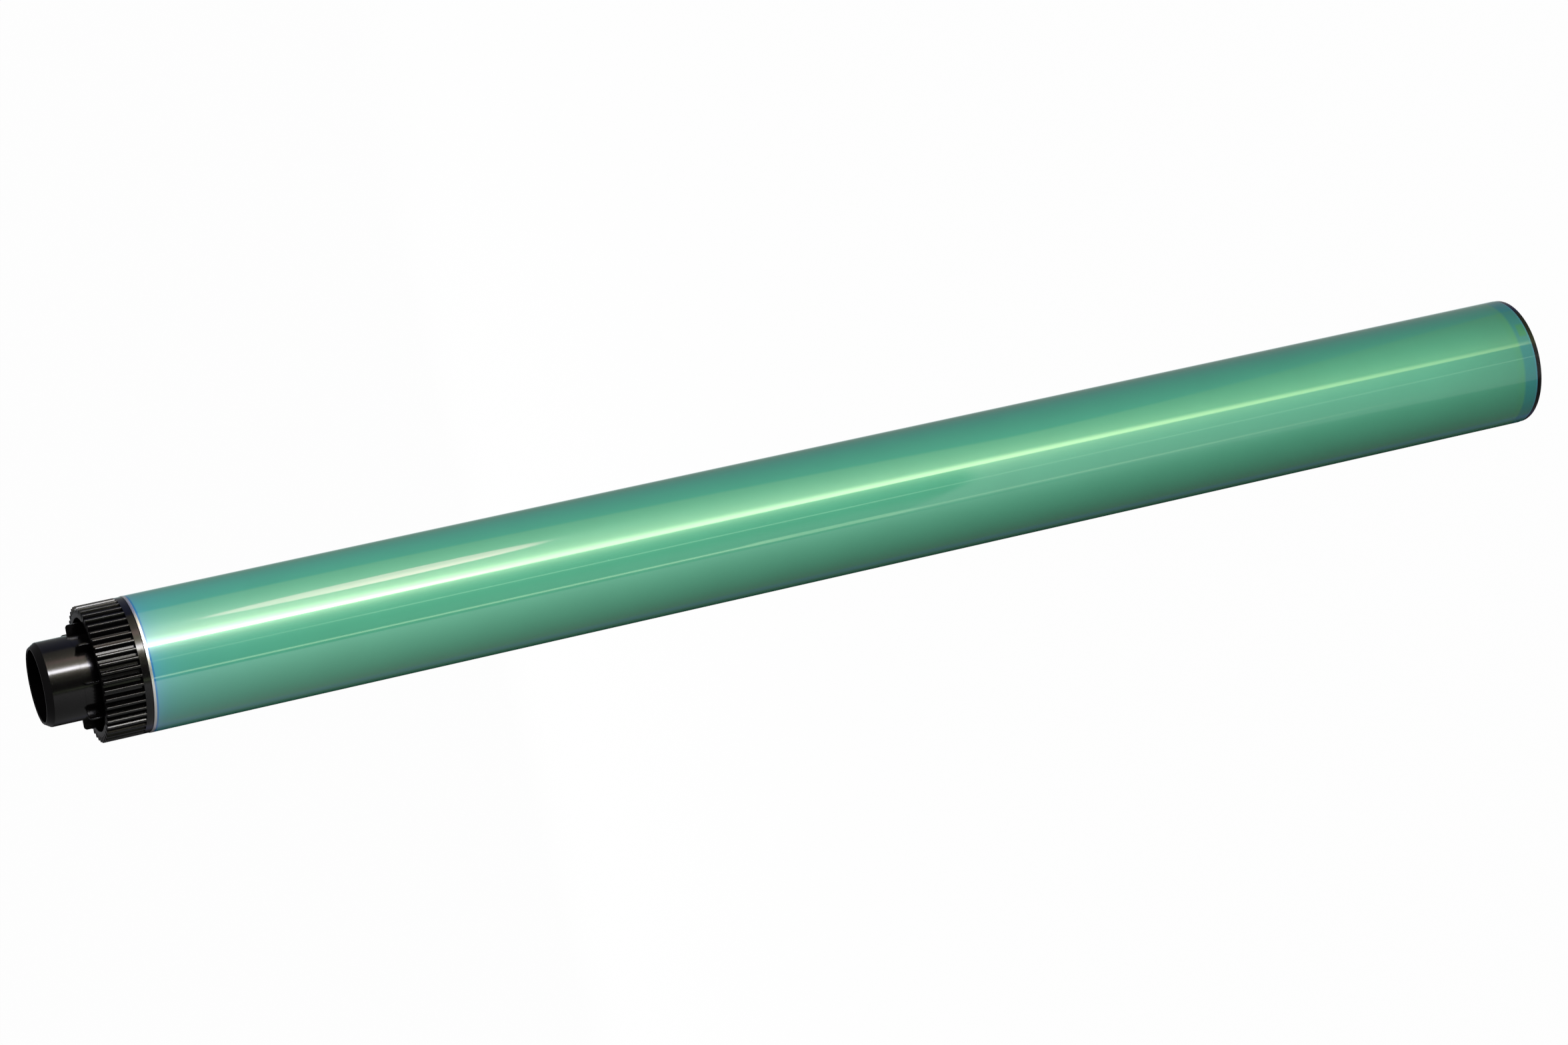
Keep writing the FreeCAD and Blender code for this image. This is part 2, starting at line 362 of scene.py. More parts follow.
def copies_round(piece, count, start=0.0):
    """Copies of a piece turned about the axis and joined into one object."""
    made = []
    for number in range(count):
        only(piece)
        bpy.ops.object.duplicate()
        copy = bpy.context.object
        turn = start + 2 * math.pi * number / count
        copy.data.transform(Matrix.Rotation(turn, 4, "Z"))
        made.append(copy)
    bpy.data.objects.remove(piece)
    bpy.ops.object.select_all(action="DESELECT")
    for copy in made:
        copy.select_set(True)
    bpy.context.view_layer.objects.active = made[0]
    bpy.ops.object.join()
    return bpy.context.object


def grow_into(body, addition):
    """Unite an addition with a body and remove the addition."""
    only(body)
    union = body.modifiers.new("union", "BOOLEAN")
    union.operation = "UNION"
    union.solver = "EXACT"
    union.object = addition
    bpy.ops.object.modifier_apply(modifier=union.name)
    bpy.data.objects.remove(addition)


def finish_piece(piece, material, node):
    """Shade a piece and tie it to the frame."""
    only(piece)
    bpy.ops.object.shade_smooth_by_angle(angle=SMOOTH_ANGLE)
    weigh = piece.modifiers.new("flat_faces", "WEIGHTED_NORMAL")
    weigh.weight = 100
    weigh.keep_sharp = True
    bpy.ops.object.modifier_apply(modifier=weigh.name)
    piece.data.materials.clear()
    piece.data.materials.append(material)
    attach(piece, BODY)
    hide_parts(node)
    if not piece.data.polygons:
        raise RuntimeError(piece.name + " has no faces")


def arc(centre_radius, centre_height, radius, end, steps):
    """Stations along a round that starts straight out, up to an angle in radians."""
    angles = [end * k / steps for k in range(steps + 1)]
    return [
        (centre_radius + radius * math.cos(a), centre_height + radius * math.sin(a))
        for a in angles
    ]


# Shader helpers

class Term:
    """Number socket that adds Math nodes when it is used in an expression."""

    def __init__(self, graph, socket):
        self.graph = graph
        self.socket = socket

    def maths(self, operation, *values):
        """Math node on the values."""
        settings = {"operation": operation}
        return self.graph.term("ShaderNodeMath", settings, dict(enumerate(values)))

    def __add__(self, other):
        return self.maths("ADD", self, other)

    def __radd__(self, other):
        return self.maths("ADD", other, self)

    def __sub__(self, other):
        return self.maths("SUBTRACT", self, other)

    def __rsub__(self, other):
        return self.maths("SUBTRACT", other, self)

    def __mul__(self, other):
        return self.maths("MULTIPLY", self, other)

    def __rmul__(self, other):
        return self.maths("MULTIPLY", other, self)

    def __truediv__(self, other):
        return self.maths("DIVIDE", self, other)

    def __rtruediv__(self, other):
        return self.maths("DIVIDE", other, self)

    def __neg__(self):
        return self.maths("MULTIPLY", self, -1)

    def __pow__(self, other):
        return self.maths("POWER", self, other)

    def rise(self, low, high):
        """0 below low and 1 above high, smooth between."""
        settings = {"interpolation_type": "SMOOTHSTEP"}
        sockets = {"Value": self, "From Min": low, "From Max": high}
        return self.graph.term("ShaderNodeMapRange", settings, sockets)

    def fall(self, low, high):
        """1 below low and 0 above high, smooth between."""
        return 1 - self.rise(low, high)

    def step(self, place, soft):
        """0 below a place and 1 above it, with an edge that is soft on both sides."""
        return self.rise(place - soft, place + soft)

    def band(self, low, high, soft):
        """1 between low and high, with soft edges outside."""
        return self.rise(low - soft, low) * self.fall(high, high + soft)

    def fade(self, scale):
        """e to the power of minus this over a scale."""
        return self.maths("EXPONENT", self * (-1.0 / scale))

    def at_most(self, other):
        """The smaller of two."""
        return self.maths("MINIMUM", self, other)

    def at_least(self, other):
        """The larger of two."""
        return self.maths("MAXIMUM", self, other)

    def past(self, start):
        """How far this is over start, and 0 below it."""
        return (self - start).at_least(0)

    def short_of(self, end):
        """How far this is under end, and 0 above it."""
        return (end - self).at_least(0)


def hypotenuse(first, second):
    """Length of the diagonal over two terms."""
    return (first * first + second * second) ** 0.5


def turn_degrees(x, y):
    """Angle from +X towards +Y, in degrees."""
    return x.maths("ARCTAN2", y, x) * math.degrees(1)


class Graph:
    """Node tree that is written as expressions."""

    def __init__(self, tree):
        self.tree = tree
        tree.nodes.clear()

    def node(self, kind, settings=None, sockets=None):
        """New node with its settings and with values or links on its sockets."""
        made = self.tree.nodes.new(kind)
        for name, value in (settings or {}).items():
            setattr(made, name, value)
        for name, value in (sockets or {}).items():
            if isinstance(value, Term):
                self.tree.links.new(value.socket, made.inputs[name])
            else:
                made.inputs[name].default_value = value
        return made

    def term(self, kind, settings=None, sockets=None, output=0):
        """One output of a new node."""
        return Term(self, self.node(kind, settings, sockets).outputs[output])

    def mix(self, factor, first, second):
        """Colour between two colours, through the Mix node's colour sockets."""
        sockets = {0: factor, 6: rgba(first), 7: rgba(second)}
        return self.term("ShaderNodeMix", {"data_type": "RGBA"}, sockets, output=2)

    def coats(self, skin, layers):
        """Colour after laying each share of a colour over what is there."""
        for share, tint in layers:
            skin = self.mix(share, skin, tint)
        return skin

    def coordinates(self, output):
        """A kind of texture coordinate, and its X, Y and Z."""
        where = self.term("ShaderNodeTexCoord", output=output)
        split = self.node("ShaderNodeSeparateXYZ", sockets={0: where})
        return where, [Term(self, split.outputs[k]) for k in range(3)]

    def ray(self, kind):
        """1 for rays of a kind, such as Camera, and 0 for all others."""
        return self.term("ShaderNodeLightPath", output="Is " + kind + " Ray")

    def noise(self, where, scale, detail=2.0):
        """Noise between 0 and 1, finer with a higher scale."""
        sockets = {"Vector": where, "Scale": scale, "Detail": detail}
        return self.term("ShaderNodeTexNoise", sockets=sockets)

    def stretched(self, where, scale):
        """Point scaled by its own amount along each axis."""
        sockets = {0: where, 1: scale}
        return self.term("ShaderNodeVectorMath", {"operation": "MULTIPLY"}, sockets)

    def bump(self, height, distance):
        """Normal tilted by a height of up to a distance in metres."""
        return self.term("ShaderNodeBump", sockets={"Height": height, "Distance": distance})


def rgba(value):
    """Colour with an alpha, or the term that was given."""
    if isinstance(value, Term):
        return value
    return (*value, 1.0)


def shaded(rgb, share):
    """Colour times a share."""
    return [channel * share for channel in rgb]


def new_material(name):
    """Empty node material with its graph."""
    material = bpy.data.materials.new(name)
    material.use_nodes = True
    return material, Graph(material.node_tree)


def principled(graph, sockets):
    """Principled surface wired to the material's output."""
    shader = graph.term("ShaderNodeBsdfPrincipled", sockets=sockets)
    graph.node("ShaderNodeOutputMaterial", sockets={"Surface": shader})


# Materials

GRAIN_DEPTH = 0.002 * MM
TURNING_DEPTH = 0.0016 * MM


def tube_skin(graph, tube, where, x, y, up, below_edge):
    """Colour of the coating; up and below_edge are in millimetres."""
    in_coating = below_edge.at_least(0)
    wander = graph.noise(graph.stretched(where, (60, 60, 4)), 1.0) - 0.5
    band_top = (tube_low.z + tube.undercoat_band) / MM
    above_band = up - band_top + wander * 0.5
    turn = turn_degrees(x, y)
    patch = (turn + wander * 8).band(-58, -49, 4) * (up + wander).band(1.8, 3.4, 0.5)
    mottle = graph.noise(where, 90.0, 3.0)
    return graph.coats(tube.green, (
        (in_coating.fade(15.0), tube.edge_blue),
        (in_coating.fade(1.8) * 0.65, tube.line_blue),
        (below_edge.band(0.05, 0.35, 0.1) * 0.8, tube.deep_blue),
        (above_band.fall(0.4, 2.6) * 0.4, tube.thin_green),
        (above_band.fall(-0.6, 0.35), tube.undercoat),
        (patch * 0.9, tube.patch_green),
        (up.fall(1.5, 1.8) * 0.35, tube.line_blue),
        (mottle.rise(0.35, 0.75) * 0.10, shaded(tube.green, 0.75)),
    ))


def coated_metal(tube):
    """Green photoconductor over a fine-turned aluminium tube."""
    material, graph = new_material("photoconductor_on_aluminium")
    where, (x, y, z) = graph.coordinates("Object")
    up = z / MM
    below_edge = (tube_high.z - tube.bare_ring) / MM - up
    outside = hypotenuse(x, y).rise(tube_high.x - 0.2 * MM, tube_high.x - 0.1 * MM)
    coated = below_edge.rise(-0.03, 0.03) * outside
    skin = tube_skin(graph, tube, where, x, y, up, below_edge)
    turning = graph.noise(graph.stretched(where, (25, 25, 4200)), 1.0)
    metal = graph.mix(turning, shaded(tube.metal, 0.88), tube.metal)
    principled(graph, {
        "Base Color": graph.mix(coated, metal, skin),
        "Metallic": 1 - coated * 0.95,
        "Roughness": 0.31 - coated * 0.13 + (turning - 0.5) * 0.10,
        "Normal": graph.bump(turning, TURNING_DEPTH),
        "Coat Weight": coated,
        "Coat Roughness": 0.035,
        "Coat IOR": 1.55,
        "Specular IOR Level": 0.0,
    })
    return material


def black_acetal(gear):
    """Black moulded plastic with a fine grain, a little rougher on the teeth."""
    material, graph = new_material("black_acetal")
    where, (x, y, z) = graph.coordinates("Object")
    grain = graph.noise(where, 5200.0)
    patches = graph.noise(where, 420.0, 3.0)
    collar_top = (tube_high.z + gear.collar_width) / MM
    ring_middle = gear.ring_bore / MM + 0.5
    teeth = (hypotenuse(x, y) / MM).rise(ring_middle, ring_middle + 0.3)
    teeth = teeth * (z / MM - collar_top).rise(0, 0.1)
    principled(graph, {
        "Base Color": graph.mix(patches.rise(0.3, 0.8), gear.black, shaded(gear.black, 1.7)),
        "Roughness": 0.14 + patches * 0.05 + (grain - 0.5) * 0.08 + teeth * 0.05,
        "Normal": graph.bump(grain, GRAIN_DEPTH),
        "Specular IOR Level": 0.32,
    })
    return material


def spring_bronze(end):
    """Rolled phosphor bronze strip."""
    material, graph = new_material("spring_bronze")
    where, _ = graph.coordinates("Object")
    rolling = graph.noise(graph.stretched(where, (400, 9000, 400)), 1.0)
    principled(graph, {
        "Base Color": graph.mix(rolling, shaded(end.bronze, 0.85), end.bronze),
        "Metallic": 1.0,
        "Roughness": 0.24 + rolling * 0.14,
        "Normal": graph.bump(rolling, GRAIN_DEPTH),
    })
    return material


# Pieces

def spigot_radii(tube, spigot):
    """Outer and inner radius of a spigot and the hub's radius."""
    seat = tube_high.x - tube.wall + tube.seat_step
    outer = seat - spigot.glue_gap
    return outer, outer - spigot.wall, shaft_bore + spigot.hub_wall


def rib_set(spigot, bottom, top, inner, outer):
    """Ribs from hub to spigot, each reaching a little into both."""
    half = spigot.rib_thickness / 2
    rib = bar("rib", (inner - RIB_REACH, -half, bottom), (outer + RIB_REACH, half, top))
    return copies_round(rib, spigot.rib_count, FIRST_TURN)


def build_tube(settings):
    """Drawn tube with seats for the flanges."""
    tube = settings.tube
    outer = tube_high.x
    bore = outer - tube.wall
    seat = bore + tube.seat_step
    low, high = tube_low.z, tube_high.z
    cut = tube.edge_break
    bow = CHAMFER_BOW * cut
    stations = [
        (outer - cut, low),
        (outer - bow, low + bow),
        (outer, low + cut),
        (outer, high - cut),
        (outer - bow, high - bow),
        (outer - cut, high),
        (seat, high),
        (seat, high - tube.seat_depth),
        (bore, high - tube.seat_depth),
        (bore, low + tube.seat_depth),
        (seat, low + tube.seat_depth),
        (seat, low),
    ]
    piece = turned("coated_tube", stations, ROUND_SIDES)
    finish_piece(piece, coated_metal(tube), "drum_tube")


def build_gear_flange(settings):
    """Gear, collar, journal and spigot in one moulding."""
    gear, spigot = settings.gear, settings.spigot
    sides = gear.tooth_count * GEAR_POINTS
    outer, inner, hub = spigot_radii(settings.tube, spigot)
    shoulder = tube_high.z
    collar_top = shoulder + gear.collar_width
    gear_top = collar_top + gear.gear_width
    web_top = collar_top + gear.web_above
    web_bottom = shoulder - gear.web_below
    free_end = shoulder - spigot.length
    mouth = gear_high.z
    pitch = gear.gear_module * gear.tooth_count / 2
    tip = gear_high.x
    root = pitch - gear.root_depth
    collar = tube_high.x - SHOULDER_DROP
    small = 0.08 * MM
    lead_height = 0.04 * MM
    teeth = dict(enumerate((tip, tip, pitch, root, root, root, pitch, tip)))
    lead = {place: min(radius, collar) for place, radius in teeth.items()}
    foot = journal_radius - gear.foot_relief
    foot_top = fin_front - 0.3 * small
    slope = math.atan2(gear.mouth_deep, gear.mouth_long)
    bend_centre = journal_radius - gear.mouth_round
    bend_foot = mouth - gear.mouth_long - gear.mouth_round * math.tan(slope / 2)
    crest = journal_radius - gear.mouth_deep
    bore_lead = shaft_bore + spigot.bore_lead
    stations = [
        (outer, shoulder),
        (collar - small, shoulder),
        (collar, shoulder + small),
        (collar, collar_top),
        (lead, collar_top),
        (teeth, collar_top + lead_height),
        (teeth, gear_top),
        (gear.ring_bore + small, gear_top),
        (gear.ring_bore, gear_top - small),
        (gear.ring_bore, web_top),
        (foot + 2 * small, web_top),
        (foot, web_top + 2 * small),
        (foot, foot_top),
        (journal_radius - 0.5 * small, foot_top),
        (journal_radius, foot_top + 0.5 * small),
        *arc(bend_centre, bend_foot, gear.mouth_round, slope, 4),
        (crest + 0.6 * small, mouth - small),
        (crest - 0.6 * small, mouth),
        (gear.journal_bore + gear.lip_break, mouth),
        (gear.journal_bore, mouth - gear.lip_break),
        (gear.journal_bore, web_top),
        (bore_lead, web_top),
        (shaft_bore, web_top - spigot.bore_lead),
        (shaft_bore, free_end + spigot.bore_lead),
        (bore_lead, free_end),
        (hub, free_end),
        (hub, web_bottom),
        (inner, web_bottom),
        (inner, free_end),
        (outer - spigot.lead, free_end),
        (outer, free_end + spigot.lead),
    ]
    piece = turned("gear_flange", stations, sides)
    round_teeth(piece, gear, sides, tip, root, gear_top)
    fin = fin_piece(gear, shoulder + gear.collar_width / 2)
    grow_into(piece, copies_round(fin, gear.fin_count))
    ribs = rib_set(
        spigot, free_end + spigot.rib_set_down, web_bottom + RIB_REACH, hub, inner)
    grow_into(piece, ribs)
    finish_piece(piece, black_acetal(gear), "drive_flange")


def fin_piece(gear, bottom):
    """Fin with a rounded outer corner, which starts inside the journal's wall."""
    inner = (journal_radius + gear.journal_bore) / 2
    outer = journal_radius + gear.fin_reach
    half = gear.fin_thickness / 2
    fin = bar("fin", (inner, -half, bottom), (outer, half, fin_front))

    def on_corner(edge):
        return all(
            point.co.x > outer - MERGE and point.co.z > fin_front - MERGE
            for point in edge.verts)

    start_edit(fin)
    pick(fin, on_corner, "EDGE")
    bpy.ops.mesh.bevel(offset=gear.fin_corner, segments=6, affect="EDGES")
    end_edit()
    soften(fin, gear.fin_round)
    return fin


def round_teeth(piece, gear, sides, tip, root, top):
    """Round the long edges of the teeth and the gear's front outline."""
    near = 0.01 * MM

    def on_tip_edge(edge):
        a, b = edge.verts
        tall = abs(a.co.z - b.co.z) > gear.gear_width / 2
        corner = tooth_place(a, sides) in (1, GEAR_POINTS - 1)
        return tall and corner and abs(from_axis(a) - tip) < near

    def on_front(edge):
        return all(
            abs(point.co.z - top) < near and from_axis(point) > root - near
            for point in edge.verts)

    start_edit(piece)
    pick(piece, lambda edge: on_tip_edge(edge) or on_front(edge), "EDGE")
    bpy.ops.mesh.bevel(offset=gear.tooth_round, segments=2, affect="EDGES")
    end_edit()


def build_end_flange(settings):
    """Plain flange with its pocket, hub, ribs and stakes."""
    end, spigot = settings.end, settings.spigot
    outer, inner, hub = spigot_radii(settings.tube, spigot)
    rim = tube_high.x - SHOULDER_DROP
    face = end_low.z
    shoulder = tube_low.z
    top = shoulder + spigot.length
    web_bottom = face + end.pocket_depth
    web_top = web_bottom + end.web
    pocket = rim - end.rim_land
    hub_face = face + end.hub_set_back
    bore_lead = shaft_bore + spigot.bore_lead
    small = 0.1 * MM
    bow = CHAMFER_BOW * end.rim_break
    stations = [
        (outer, shoulder),
        (outer, top - spigot.lead),
        (outer - spigot.lead, top),
        (inner, top),
        (inner, web_top),
        (hub, web_top),
        (hub, top),
        (bore_lead, top),
        (shaft_bore, top - spigot.bore_lead),
        (shaft_bore, hub_face + spigot.bore_lead),
        (bore_lead, hub_face),
        (hub - small, hub_face),
        (hub, hub_face + small),
        (hub, web_bottom - small),
        (hub + small, web_bottom),
        (pocket - small, web_bottom),
        (pocket, web_bottom - small),
        (pocket, face + small),
        (pocket + small, face),
        (rim - end.rim_break, face),
        (rim - bow, face + bow),
        (rim, face + end.rim_break),
        (rim, shoulder),
    ]
    piece = turned("plain_flange", stations, ROUND_SIDES)
    grow_into(piece, rib_set(spigot, web_bottom + 0.5 * end.web, top, hub, inner))
    stake = stake_piece(end, top - end.stake_root)
    grow_into(piece, copies_round(stake, end.stake_count, FIRST_TURN))
    finish_piece(piece, black_acetal(settings.gear), "end_flange")


def stake_piece(end, bottom):
    """Post with a flattened head, upset over the ground plate."""
    top = end_high.z
    neck = top - end.stake_height
    bpy.ops.object.select_all(action="DESELECT")
    bpy.ops.mesh.primitive_cylinder_add(
        vertices=32, radius=end.stake_post, depth=neck - bottom,
        location=(end.stake_circle, 0, (bottom + neck) / 2))
    stake = bpy.context.object
    stake.name = "stake"
    bpy.ops.object.transform_apply(location=True)
    start_edit(stake)
    pick(stake, lambda face: face.normal.z > 0.9, "FACE")
    centre = (end.stake_circle, 0, 0)
    out = end.stake_head / end.stake_post
    bpy.ops.mesh.extrude_region_move(TRANSFORM_OT_translate={"value": (0, 0, 0)})
    bpy.ops.transform.resize(value=(out, out, 1), center_override=centre)
    bpy.ops.mesh.extrude_region_move(TRANSFORM_OT_translate={"value": (0, 0, top - neck)})
    bpy.ops.mesh.bevel(offset=end.stake_round, segments=3, affect="EDGES")
    end_edit()
    return stake


def build_ground_plate(settings):
    """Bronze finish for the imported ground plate, whose shape stays."""
    plate = frame["nodes"]["ground_plate"]
    material = spring_bronze(settings.end)
    plate.data.materials.clear()
    plate.data.materials.append(material)


# Stage

def camera_axes(stage):
    """Right, up and back directions of the camera."""
    a, e, r = stage.azimuth, stage.elevation, stage.roll
    back = Vector((math.sin(a) * math.cos(e), -math.cos(a) * math.cos(e), math.sin(e)))
    level = Vector((math.cos(a), math.sin(a), 0))
    above = back.cross(level)
    right = level * math.cos(r) + above * math.sin(r)
    return right, back.cross(right), back


def build_camera(stage):
    """Camera at the photograph's viewing angle."""
    right, up, back = camera_axes(stage)
    bpy.ops.object.camera_add()
    camera = bpy.context.object
    camera.name = "camera"
    place = Vector(stage.aim) + back * stage.distance
    turn = Matrix((right, up, back)).transposed().to_4x4()
    camera.matrix_world = Matrix.Translation(place) @ turn
    camera.data.lens = stage.lens
    camera.data.sensor_width = 36
    camera.data.clip_start = 0.01
    camera.data.clip_end = 20
    bpy.context.scene.camera = camera
    return place


# Studio light

WHITE = (1, 1, 1)
COATED_LENGTH = 340
PANEL_LAST = 338
PANEL_SOFT = 0.6
STRIP_EDGE = (68.6, 69.1)
TABLE_EDGE = 97.3


class Spot:
    """Where a direction of the world shows on the drum.

    Facing is how far round the drum, in degrees from +X towards the camera, and
    along is how far from the coating's edge, in millimetres. Both tell where the
    lights below show, and their sizes are in the same degrees and millimetres.
    Beyond is 1 past the coating's edge, at the gear. Above and below are the
    sides of the strip light's sharp edge in the picture, and drop is how steeply
    the direction falls."""

    def __init__(self, graph, settings, camera_place):
        _, (x, y, z) = graph.coordinates("Generated")
        self.drop = -z / hypotenuse(x, y).at_least(0.001)
        # The drum mirrors a direction to the camera where its surface faces half way
        # between the two
        camera_turn = math.degrees(math.atan2(camera_place.y, camera_place.x))
        opposite = 90 - camera_turn
        half = (-camera_turn - turn_degrees(x, y)) * 0.5
        self.facing = half.maths("WRAP", half, opposite, opposite - 180)
        # The drum stands upright, so the ray from the camera falls as steeply before
        # its reflection as after it
        off_camera = (self.facing + camera_turn) * math.radians(1)
        nearer = off_camera.maths("COSINE", off_camera) * tube_high.x
        reach = math.hypot(camera_place.x, camera_place.y) - nearer
        coating_edge = tube_high.z - settings.tube.bare_ring
        seen = (self.drop * reach - (camera_place.z - coating_edge)) / MM
        self.along = seen.at_least(0).at_most(COATED_LENGTH)
        self.beyond = seen.fall(-9, -0.5)
        self.before_end = seen.fall(COATED_LENGTH, COATED_LENGTH + 4)
        self.above = self.facing.fall(*STRIP_EDGE)
        self.below = 1 - self.above


def strip_light(spot):
    """Long strip light, and its bright core near the gear."""
    facing, along, beyond = spot.facing, spot.along, spot.beyond
    start = 60.3 + along * 0.0125
    strength = 7.5 + along.rise(0, 60) * 1.1 - along.past(205) * 0.045
    strip = facing.rise(start, 67.6) * spot.above * strength * spot.before_end
    core_start = 66 - beyond * 2
    core_strength = 16 + beyond * 35
    core = facing.rise(core_start, core_start + 1.6) * spot.above * along.fall(20, 99)
    return strip, core * core_strength


def soft_panel(spot):
    """Panel that fades away from the strip light, and the angle where it ends."""
    facing, along = spot.facing, spot.along
    wide, narrow = 35.5, 49.5
    first, middle = 40, 205
    near_end = wide + (along.past(first) / (middle - first)) ** 1.5 * (narrow - wide)
    far_end = narrow - (along.past(middle) / (PANEL_LAST - middle)) ** 1.8 * 21
    end = near_end.at_most(far_end)
    shape = facing.step(end, PANEL_SOFT) * spot.above
    strength = facing.short_of(62).fade(10.6) * (along.fade(165) * 9.3 - 0.1) + 0.12
    return shape * strength * (1 - spot.beyond * 0.85), end


def front_window(spot):
    """Shape and light of the panel below the strip light, and its warm glow.

    The panel lies past a dark gap, and the glow runs along both."""
    facing, along = spot.facing, spot.along
    gap_end = 192.5 - (facing.past(77) / 16) ** 2 * 17
    past_gap = along.step(gap_end, 2)
    middle = 200
    bottom = 96.7 + (along.past(middle) / (PANEL_LAST - middle)) ** 2 * 6
    in_front = spot.below * (1 - facing.step(bottom, 0.8))
    lit = in_front * past_gap
    dark = in_front * (1 - past_gap)
    light = lit * (1.68 - along * 0.003)
    gap_light = facing.rise(81, 91) * along.at_most(130) * 0.0052 - 0.22
    light = light + dark * gap_light.at_least(-0.1)
    under = facing.past(69.5)
    glow = lit * under.fade(6) * along.short_of(330) * 0.023
    gap_glow = under.fade(3.8) * along.fade(150) * (8.6 - spot.beyond * 7.5)
    return lit, light, glow + dark * gap_glow


def thin_lines(spot):
    """Faint seam and bright line that run along the drum."""
    facing, along = spot.facing, spot.along
    coated = 1 - spot.beyond
    seam = facing.band(80.4, 81.0, 0.25) * (1 + along.band(55, 170, 25) * 0.8) * coated
    wide = along.band(140, 172, 6)
    line = facing.band(94.3 - wide * 0.9, 94.9 + wide * 0.4, 0.7)
    strength = 3.4 - along.rise(135, 150) * 1.2 - along.rise(172, 182) * 0.9
    return seam, line * strength * along.fall(230, 330) * coated


def table_light(spot, front_shape):
    """Table that is brightest at its edge, where the front panel leaves it free."""
    facing, along = spot.facing, spot.along
    shape = facing.step(TABLE_EDGE, 0.5) * (1 - front_shape)
    width = (24.5 - along * 0.072).at_least(4)
    falling = (facing.past(TABLE_EDGE) / width).fade(1) * (1 + along.fall(0, 1) * 0.6)
    strength = falling * (along * -0.0031 + 1.45) * (1 - spot.beyond * 0.92) + 0.04
    return shape * strength * facing.fall(142.5, 158.5)


def oval_lamp(spot):
    """Small oval lamp above the strip light."""
    facing, along = spot.facing, spot.along
    off_middle = along - 52
    length_share = off_middle / 39
    half_width = 3.1 + length_share * 0.5
    width_share = (facing - 53.3 + off_middle * 0.02) / half_width
    shape = hypotenuse(length_share, width_share).fall(0.93, 1.05)
    return shape * (7 + along.rise(25, 60) * facing.rise(52, 55) * 4)


def room_light(spot):
    """Light that grazes the drum's edge, and that light with the dim room's."""
    facing, beyond = spot.facing, spot.beyond
    grazing = facing.past(-5.5).fade(4) * 0.6
    sky = facing.fall(6, 36) * (0.08 + spot.along * 0.0003 - beyond * 0.06)
    sky = sky + facing.fall(22, 50) * beyond * 0.08
    return grazing, grazing + sky + 0.04 + facing.fall(140, 158) * 0.11


def studio_colour(graph, spot):
    """Colour of the studio as gloss shows it: the sum of its tinted lights."""
    facing, along, beyond = spot.facing, spot.along, spot.beyond
    strip, core = strip_light(spot)
    panel, panel_end = soft_panel(spot)
    front_shape, front, front_glow = front_window(spot)
    seam, line = thin_lines(spot)
    grazing, room = room_light(spot)
    beside_panel = 1 - facing.step(panel_end, PANEL_SOFT)
    blue_wall = beside_panel * facing.rise(-2, 30) * (0.5 - along * 0.0006) * along.rise(0, 4)
    blue_table = facing.band(146, 149, 4) * (1 - beyond) * 0.16
    yellow = along.rise(120, 300)
    warm = (
        1 - yellow * 0.12,
        1 - along.fall(60, 130) * 0.07,
        0.66 + beyond * 0.24 - yellow * 0.17,
    )
    tinted = (
        (room + front + table_light(spot, front_shape), WHITE),
        (grazing, (-0.3, 0, 0)),
        (strip + panel + front_glow, warm),
        (core, (1, 1, 0.55 + beyond * 0.6)),
        (oval_lamp(spot), (1, 0.5, 0.58)),
        (line, (1, 1.2, 0.75)),
        (seam, (1, 1.3, 0.9)),
        (blue_wall, (0, 0.12, 1)),
        (blue_table, (0, 0, 1)),
    )
    edge = facing.fall(152.5, 160) * 0.9 + 0.1
    channels = {k: sum(light * tint[k] for light, tint in tinted) * edge for k in range(3)}
    return graph.term("ShaderNodeCombineColor", sockets=channels)


def build_studio(settings, camera_place):
    """World: white to the camera, even to matt surfaces, and a studio to gloss."""
    stage = settings.stage
    world = bpy.data.worlds.new("studio")
    bpy.context.scene.world = world
    world.use_nodes = True
    world.cycles.sampling_method = "NONE"
    graph = Graph(world.node_tree)
    spot = Spot(graph, settings, camera_place)
    upward = (-spot.drop).rise(-0.12, 0.10)
    shown = graph.mix(upward, studio_colour(graph, spot), stage.ceiling)
    shown = graph.mix(graph.ray("Glossy"), [stage.ambient] * 3, shown)
    shown = graph.mix(graph.ray("Camera"), shown, WHITE)
    background = graph.term("ShaderNodeBackground", sockets={"Color": shown, "Strength": 1.0})
    graph.node("ShaderNodeOutputWorld", sockets={"Surface": background})


# Lamps and floor

def area_lamp(name, watts, size, place, target):
    """Soft lamp that lights matt surfaces and stays out of reflections."""
    bpy.ops.object.light_add(type="AREA", location=place)
    lamp = bpy.context.object
    lamp.name = name
    lamp.data.shape = "RECTANGLE"
    lamp.data.size, lamp.data.size_y = size
    lamp.data.energy = watts
    lamp.visible_camera = False
    lamp.visible_glossy = False
    aim = Vector(target) - Vector(place)
    lamp.rotation_euler = aim.to_track_quat("-Z", "Y").to_euler()


def around(degrees, reach, height):
    """Place at an angle round the drum, a distance from its axis and a height."""
    turn = math.radians(degrees)
    return (reach * math.cos(turn), reach * math.sin(turn), height)


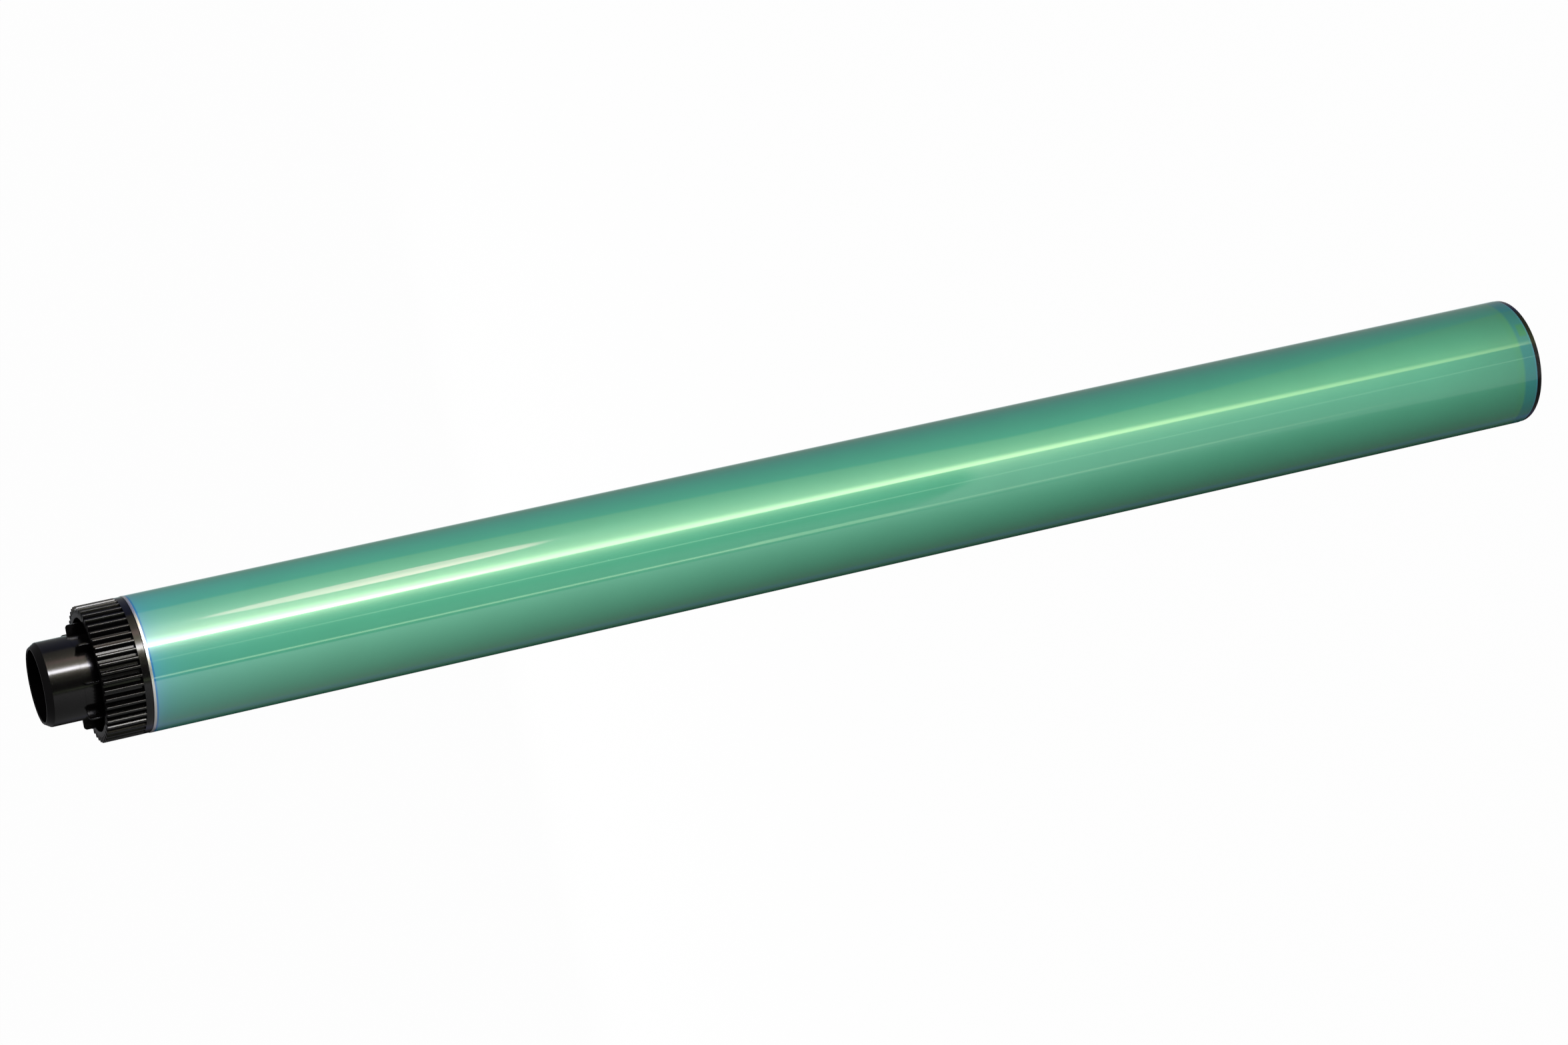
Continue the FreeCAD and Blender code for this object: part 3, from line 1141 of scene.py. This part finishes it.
def build_lamps(stage):
    """Lamps on the camera's side of the drum and a fill behind it.

    Upper and lower are as the photograph lies, with the gear to the left. A row
    holds name, power, width and length, place, and the height that it aims at."""
    near_gear = 0.265
    rows = (
        ("key_lamp", stage.key_power, (0.40, 0.40), around(-70, 0.60, 0.28), near_gear),
        ("strip_lamp", stage.strip_power, (0.012, 0.35), around(-70, 0.05, 0.185), 0.185),
        ("foot_lamp", stage.foot_power, (0.01, 0.02), around(-72, 0.055, 0.018), 0.018),
        ("upper_lamp", stage.upper_power, (0.20, 0.20), around(-10, 0.30, 0.50), near_gear),
        ("lower_lamp", stage.lower_power, (0.20, 0.20), around(-110, 0.30, 0.35), near_gear),
        ("fill_lamp", stage.fill_power, (0.50, 0.50), around(104, 0.90, 0.30), 0.20),
    )
    for name, watts, size, place, aim_height in rows:
        area_lamp(name, watts, size, place, (0, 0, aim_height))


def build_floor(stage):
    """Pale floor that shows white with a faint shadow and stays out of gloss."""
    bpy.ops.object.select_all(action="DESELECT")
    bpy.ops.mesh.primitive_plane_add(size=12, location=(0, 0, end_low.z))
    floor = bpy.context.object
    floor.name = "floor"
    material, graph = new_material("floor_paint")
    paint = graph.term("ShaderNodeBsdfDiffuse", sockets={"Color": rgba(stage.floor_grey)})
    white = graph.term("ShaderNodeEmission", sockets={"Color": rgba(WHITE), "Strength": 1.0})
    share = graph.ray("Camera") * stage.floor_white
    surface = graph.term("ShaderNodeMixShader", sockets={0: share, 1: paint, 2: white})
    graph.node("ShaderNodeOutputMaterial", sockets={"Surface": surface})
    floor.data.materials.append(material)
    floor.visible_glossy = False


def build_stage(settings):
    """Camera, studio light, lamps and floor."""
    bpy.context.scene.view_settings.view_transform = "Standard"
    place = build_camera(settings.stage)
    build_studio(settings, place)
    build_lamps(settings.stage)
    build_floor(settings.stage)


# Operators and panel

class DRUM_OT_coated_tube(bpy.types.Operator):
    """Model the coated tube"""
    bl_idname = "drum.coated_tube"
    bl_label = "Coated tube"

    def execute(self, context):
        build_tube(context.scene.drum)
        return {"FINISHED"}


class DRUM_OT_gear_flange(bpy.types.Operator):
    """Model the geared flange with its journal"""
    bl_idname = "drum.gear_flange"
    bl_label = "Gear flange"

    def execute(self, context):
        build_gear_flange(context.scene.drum)
        return {"FINISHED"}


class DRUM_OT_plain_flange(bpy.types.Operator):
    """Model the plain flange"""
    bl_idname = "drum.plain_flange"
    bl_label = "Plain flange"

    def execute(self, context):
        build_end_flange(context.scene.drum)
        return {"FINISHED"}


class DRUM_OT_ground_plate(bpy.types.Operator):
    """Finish the ground plate in bronze"""
    bl_idname = "drum.ground_plate"
    bl_label = "Ground plate"

    def execute(self, context):
        build_ground_plate(context.scene.drum)
        return {"FINISHED"}


class DRUM_OT_stage(bpy.types.Operator):
    """Set up camera, studio light, lamps and floor"""
    bl_idname = "drum.stage"
    bl_label = "Stage"

    def execute(self, context):
        build_stage(context.scene.drum)
        return {"FINISHED"}


class DRUM_PT_panel(bpy.types.Panel):
    """Lists the drum's pieces"""
    bl_idname = "DRUM_PT_panel"
    bl_label = "Photoconductor drum"
    bl_space_type = "VIEW_3D"
    bl_region_type = "UI"
    bl_category = "Drum"

    def draw(self, context):
        for operator in OPERATORS:
            self.layout.operator(operator.bl_idname)


OPERATORS = (
    DRUM_OT_coated_tube,
    DRUM_OT_gear_flange,
    DRUM_OT_plain_flange,
    DRUM_OT_ground_plate,
    DRUM_OT_stage,
)
SETTINGS = (
    TubeSettings, GearSettings, SpigotSettings, EndSettings, StageSettings, DrumSettings,
)
CLASSES = SETTINGS + OPERATORS + (DRUM_PT_panel,)


def register():
    """Add the settings, operators and panel."""
    for item in CLASSES:
        bpy.utils.register_class(item)
    bpy.types.Scene.drum = PointerProperty(type=DrumSettings)


def unregister():
    """Remove what register added."""
    del bpy.types.Scene.drum
    for item in reversed(CLASSES):
        bpy.utils.unregister_class(item)


def main():
    """Build every piece and the stage."""
    register()
    bpy.ops.drum.coated_tube()
    bpy.ops.drum.gear_flange()
    bpy.ops.drum.plain_flange()
    bpy.ops.drum.ground_plate()
    bpy.ops.drum.stage()


if __name__ == "__main__":
    main()
